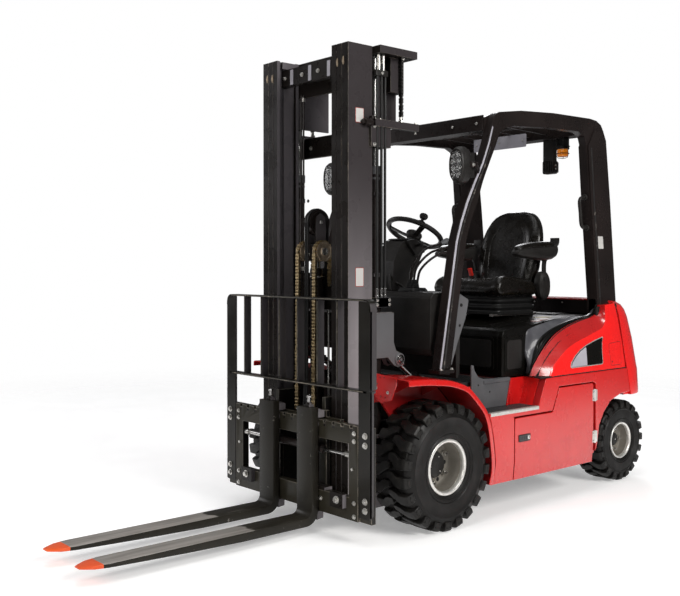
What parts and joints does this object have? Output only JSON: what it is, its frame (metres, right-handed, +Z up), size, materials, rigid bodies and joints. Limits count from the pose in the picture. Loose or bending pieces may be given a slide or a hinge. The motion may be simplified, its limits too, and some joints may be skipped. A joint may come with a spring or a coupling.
{
  "type": "four-wheel electric counterbalance forklift truck",
  "caption": "Ride-on electric counterbalance forklift with a tilting three-stage mast, side-shifting fork carriage, overhead guard and steered rear wheels.",
  "frame": {"origin": "on the floor, under the middle of the truck's overall length and width", "axes": "+Z up, -Y towards the fork tips, +X to the truck's left side"},
  "size_m": [1.184, 3.44, 2.257],
  "materials": {
    "tyre": "solid rubber, matt",
    "rim": "silver-grey paint, satin",
    "axle_iron": "black-painted casting, matt",
    "red_paint": "bright red, gloss",
    "red_cast": "bright red over a casting, gloss",
    "floor_mat": "ribbed mat, matt",
    "battery": "plain block",
    "black_moulding": "grained black moulding",
    "seat_vinyl": "black vinyl, satin",
    "guard_black": "black, satin",
    "lamp": "black housing with clear lenses",
    "amber_lens": "amber, gloss",
    "cylinder_black": "black, satin",
    "chrome_rod": "hard chrome, polished",
    "mast_black": "black, satin",
    "fork_steel": "black, worn bare along the blade"
  },
  "bodies": {
    "chassis": {"chassis": "red_paint", "front_fender_left": "red_paint", "front_fender_right": "red_paint", "body_side_left": "red_paint", "body_side_right": "red_paint", "floor_plate": "floor_mat", "dash_cowl": "black_moulding", "steering_column": "black_moulding", "control_levers": "black_moulding", "battery_pack": "battery", "counterweight": "red_cast", "side_cover_left": "red_paint", "side_cover_right": "red_paint", "overhead_guard": "guard_black", "front_light_left": "lamp", "front_light_right": "lamp", "rear_work_light": "lamp", "beacon": "amber_lens", "drive_axle": "axle_iron", "steer_axle": "axle_iron"},
    "front_wheel_left": {"front_tyre_left": "tyre", "front_rim_left": "rim"},
    "front_wheel_right": {"front_tyre_right": "tyre", "front_rim_right": "rim"},
    "knuckle_left": {"knuckle_left": "axle_iron"},
    "knuckle_right": {"knuckle_right": "axle_iron"},
    "rear_wheel_left": {"rear_tyre_left": "tyre", "rear_rim_left": "rim"},
    "rear_wheel_right": {"rear_tyre_right": "tyre", "rear_rim_right": "rim"},
    "steering_wheel": {"steering_wheel": "black_moulding"},
    "hood": {"hood": "black_moulding", "seat_base": "black_moulding", "seat_cushion": "seat_vinyl", "seat_back": "seat_vinyl", "armrest": "seat_vinyl"},
    "door_left": {"door_left": "red_paint"},
    "door_right": {"door_right": "red_paint"},
    "charge_flap": {"charge_flap": "red_paint"},
    "tilt_barrel_left": {"tilt_barrel_left": "cylinder_black"},
    "tilt_barrel_right": {"tilt_barrel_right": "cylinder_black"},
    "tilt_rod_left": {"tilt_rod_left": "chrome_rod"},
    "tilt_rod_right": {"tilt_rod_right": "chrome_rod"},
    "outer_mast": {"outer_mast": "mast_black", "lift_barrel_left": "cylinder_black", "lift_barrel_right": "cylinder_black"},
    "middle_mast": {"middle_mast": "mast_black", "lift_rod_left": "chrome_rod", "lift_rod_right": "chrome_rod"},
    "inner_mast": {"inner_mast": "mast_black", "free_lift_barrel": "cylinder_black"},
    "crosshead": {"free_lift_rod": "chrome_rod", "crosshead": "cylinder_black"},
    "carriage": {"carriage": "mast_black", "sideshift_barrel": "cylinder_black"},
    "sideshift": {"sideshift_frame": "mast_black", "sideshift_rod": "chrome_rod", "backrest": "mast_black"},
    "fork_left": {"fork_left": "fork_steel"},
    "fork_right": {"fork_right": "fork_steel"}
  },
  "joints": [
    {"name": "front_wheel_left_spin", "type": "hinge", "parent": "chassis", "child": "front_wheel_left", "pos_m": [0.48, -0.075, 0.2985], "axis": [1, 0, 0], "continuous": true},
    {"name": "front_wheel_right_spin", "type": "hinge", "parent": "chassis", "child": "front_wheel_right", "pos_m": [-0.48, -0.075, 0.2985], "axis": [1, 0, 0], "continuous": true},
    {"name": "steer_left", "type": "hinge", "parent": "chassis", "child": "knuckle_left", "pos_m": [0.345, 1.4655, 0.2316], "axis": [0, 0, 1], "range_deg": [-65, 65]},
    {"name": "steer_right", "type": "hinge", "parent": "chassis", "child": "knuckle_right", "pos_m": [-0.345, 1.4655, 0.2316], "axis": [0, 0, 1], "range_deg": [-65, 65]},
    {"name": "rear_wheel_left_spin", "type": "hinge", "parent": "knuckle_left", "child": "rear_wheel_left", "pos_m": [0.45, 1.4655, 0.2316], "axis": [1, 0, 0], "continuous": true},
    {"name": "rear_wheel_right_spin", "type": "hinge", "parent": "knuckle_right", "child": "rear_wheel_right", "pos_m": [-0.45, 1.4655, 0.2316], "axis": [1, 0, 0], "continuous": true},
    {"name": "steering_wheel_turn", "type": "hinge", "parent": "chassis", "child": "steering_wheel", "pos_m": [0, 0.305, 1.41], "axis": [0, 0.49, 0.8717], "continuous": true},
    {"name": "hood_hinge", "type": "hinge", "parent": "chassis", "child": "hood", "pos_m": [0, 1.32, 0.955], "axis": [-1, 0, 0], "range_deg": [0, 55]},
    {"name": "door_left_hinge", "type": "hinge", "parent": "chassis", "child": "door_left", "pos_m": [0.586, 1.108, 0.38], "axis": [0, 0, 1], "range_deg": [0, 85]},
    {"name": "door_right_hinge", "type": "hinge", "parent": "chassis", "child": "door_right", "pos_m": [-0.586, 1.108, 0.38], "axis": [0, 0, -1], "range_deg": [0, 85]},
    {"name": "charge_flap_hinge", "type": "hinge", "parent": "chassis", "child": "charge_flap", "pos_m": [0.582, 1.377, 0.745], "axis": [0, 0, 1], "range_deg": [0, 100]},
    {"name": "mast_tilt", "type": "hinge", "parent": "chassis", "child": "outer_mast", "pos_m": [0, -0.075, 0.2985], "axis": [1, 0, 0], "range_deg": [-5, 6]},
    {"name": "tilt_barrel_left_hinge", "type": "hinge", "parent": "chassis", "child": "tilt_barrel_left", "pos_m": [0.29, 0.325, 0.42], "axis": [1, 0, 0], "range_deg": [-3.2, 3.8]},
    {"name": "tilt_barrel_right_hinge", "type": "hinge", "parent": "chassis", "child": "tilt_barrel_right", "pos_m": [-0.29, 0.325, 0.42], "axis": [1, 0, 0], "range_deg": [-3.2, 3.8]},
    {"name": "tilt_rod_left_slide", "type": "slide", "parent": "tilt_barrel_left", "child": "tilt_rod_left", "axis": [0, -0.7913, 0.6114], "range_m": [-0.031, 0.037]},
    {"name": "tilt_rod_right_slide", "type": "slide", "parent": "tilt_barrel_right", "child": "tilt_rod_right", "axis": [0, -0.7913, 0.6114], "range_m": [-0.031, 0.037]},
    {"name": "mast_lift", "type": "slide", "parent": "outer_mast", "child": "middle_mast", "axis": [0, 0, 1], "range_m": [0, 1.45]},
    {"name": "inner_lift", "type": "slide", "parent": "middle_mast", "child": "inner_mast", "axis": [0, 0, 1], "range_m": [0, 1.45]},
    {"name": "free_lift", "type": "slide", "parent": "inner_mast", "child": "crosshead", "axis": [0, 0, 1], "range_m": [0, 0.58]},
    {"name": "carriage_lift", "type": "slide", "parent": "crosshead", "child": "carriage", "axis": [0, 0, 1], "range_m": [0, 0.58]},
    {"name": "sideshift", "type": "slide", "parent": "carriage", "child": "sideshift", "axis": [1, 0, 0], "range_m": [-0.1, 0.1]},
    {"name": "fork_left_slide", "type": "slide", "parent": "sideshift", "child": "fork_left", "axis": [1, 0, 0], "range_m": [-0.06, 0.25]},
    {"name": "fork_right_slide", "type": "slide", "parent": "sideshift", "child": "fork_right", "axis": [-1, 0, 0], "range_m": [-0.06, 0.25]}
  ],
  "couplings": [
    {"joint": "steer_right", "follows": "steer_left", "ratio": 1},
    {"joint": "tilt_barrel_left_hinge", "follows": "mast_tilt", "ratio": 0.597},
    {"joint": "tilt_barrel_right_hinge", "follows": "mast_tilt", "ratio": 0.597},
    {"joint": "tilt_rod_left_slide", "follows": "mast_tilt", "m_per_rad": 0.34},
    {"joint": "tilt_rod_right_slide", "follows": "mast_tilt", "m_per_rad": 0.34},
    {"joint": "inner_lift", "follows": "mast_lift", "ratio": 1},
    {"joint": "carriage_lift", "follows": "free_lift", "ratio": 1}
  ]
}
